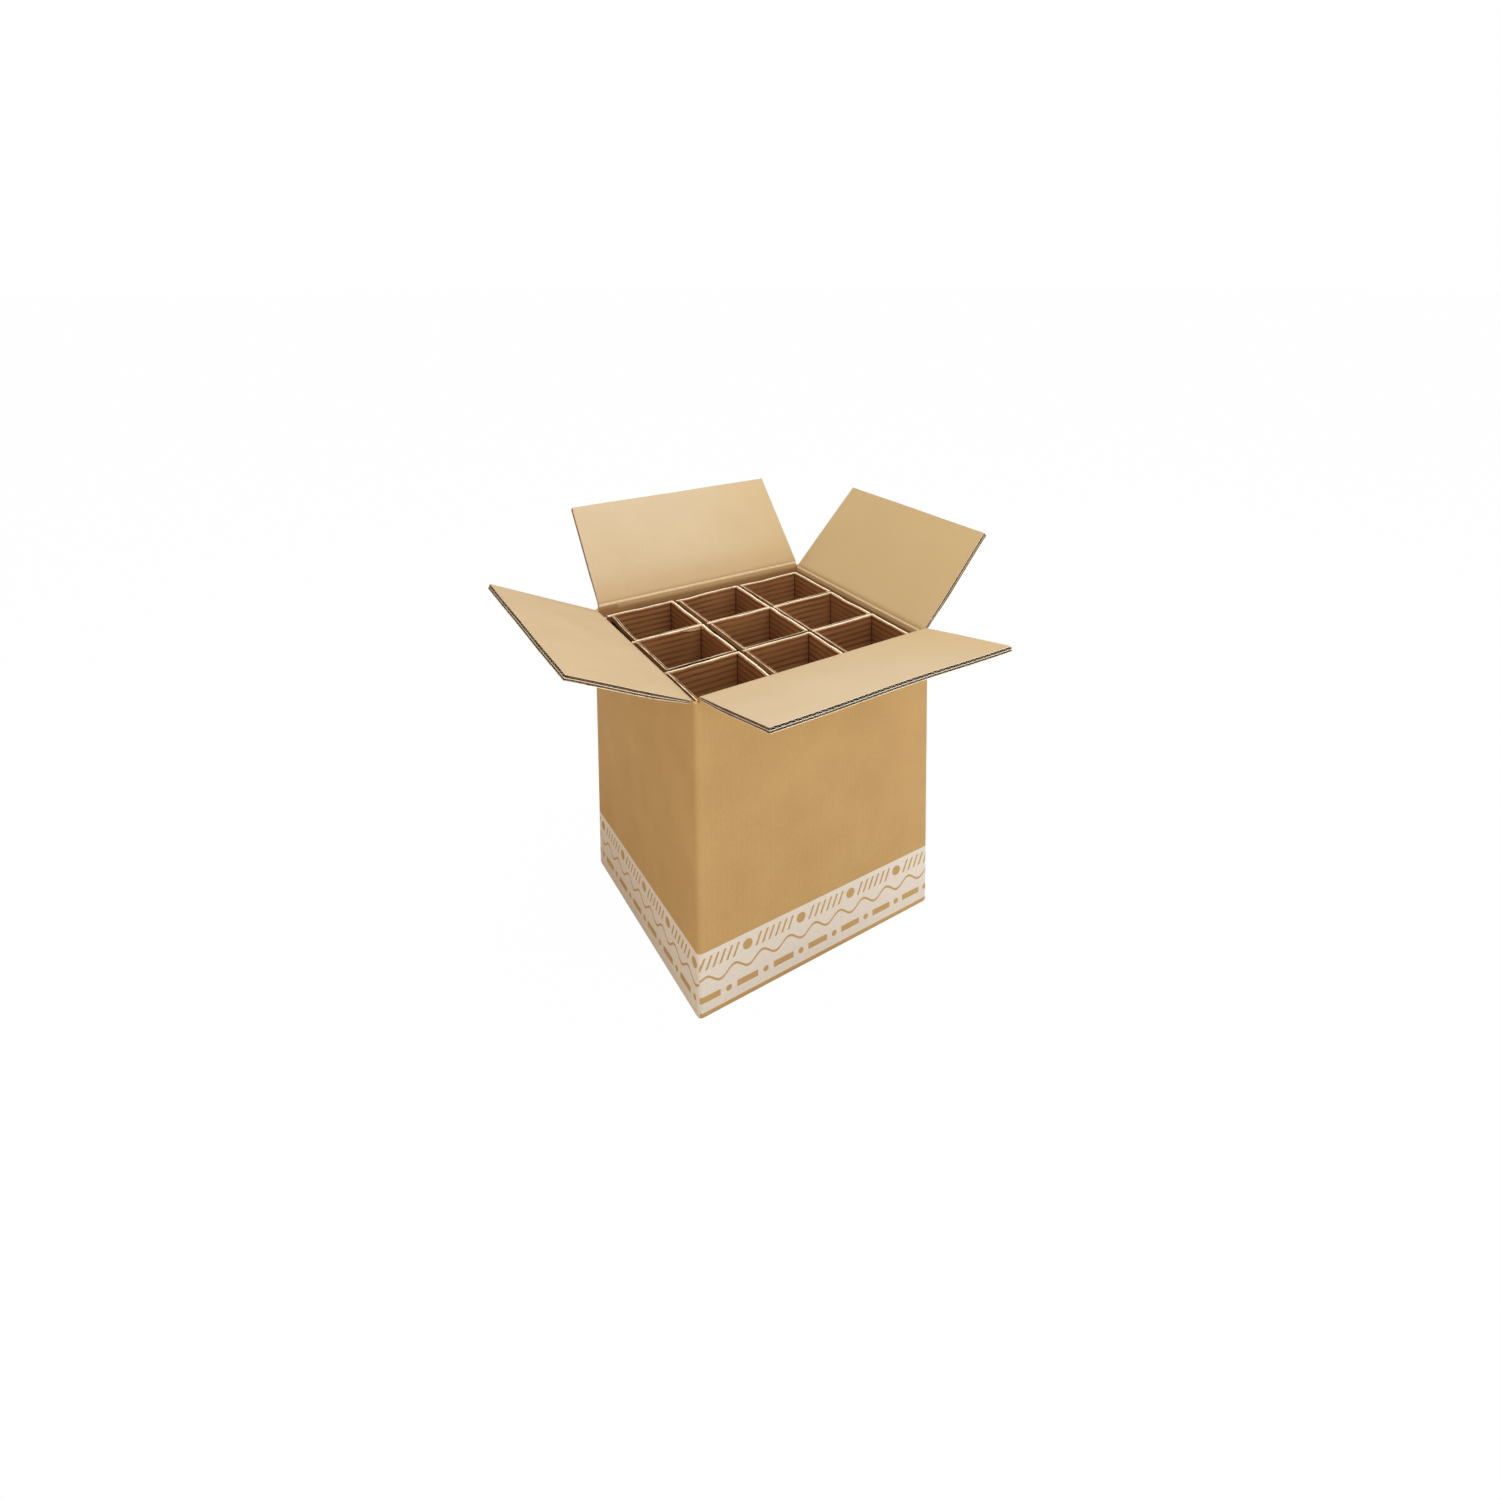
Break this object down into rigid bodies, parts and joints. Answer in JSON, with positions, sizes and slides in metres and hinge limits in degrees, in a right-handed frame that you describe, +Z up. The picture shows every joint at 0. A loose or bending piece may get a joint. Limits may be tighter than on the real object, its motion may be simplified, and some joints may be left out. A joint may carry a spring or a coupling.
{
  "type": "bottle carton",
  "caption": "Slotted corrugated shipping carton with folding top flaps and a grid of loose square board sleeves that keep bottles upright and apart.",
  "frame": {"origin": "middle of the base, on the ground", "axes": "+Z up, front wall facing -Y, length along X"},
  "size_m": [0.5751, 0.5731, 0.4837],
  "materials": {
    "carton_board": "matt brown kraft liner",
    "sleeve_board": "matt brown recycled liner with a faint washboard"
  },
  "bodies": {
    "carton": {"carton_body": "carton_board", "sleeve_front_left": "sleeve_board", "sleeve_front_middle": "sleeve_board", "sleeve_front_right": "sleeve_board", "sleeve_middle_left": "sleeve_board", "sleeve_centre": "sleeve_board", "sleeve_middle_right": "sleeve_board", "sleeve_back_left": "sleeve_board", "sleeve_back_middle": "sleeve_board", "sleeve_back_right": "sleeve_board"},
    "front_flap": {"front_flap": "carton_board"},
    "back_flap": {"back_flap": "carton_board"},
    "left_flap": {"left_flap": "carton_board"},
    "right_flap": {"right_flap": "carton_board"}
  },
  "joints": [
    {"name": "front_flap_fold", "type": "hinge", "parent": "carton", "child": "front_flap", "pos_m": [0, -0.1557, 0.3689], "axis": [1, 0, 0], "range_deg": [-168, 42]},
    {"name": "back_flap_fold", "type": "hinge", "parent": "carton", "child": "back_flap", "pos_m": [0, 0.1557, 0.3689], "axis": [-1, 0, 0], "range_deg": [-133.5, 76.5]},
    {"name": "left_flap_fold", "type": "hinge", "parent": "carton", "child": "left_flap", "pos_m": [-0.1617, 0, 0.362], "axis": [0, -1, 0], "range_deg": [-154.5, 55.5]},
    {"name": "right_flap_fold", "type": "hinge", "parent": "carton", "child": "right_flap", "pos_m": [0.1617, 0, 0.362], "axis": [0, 1, 0], "range_deg": [-134, 76]}
  ]
}
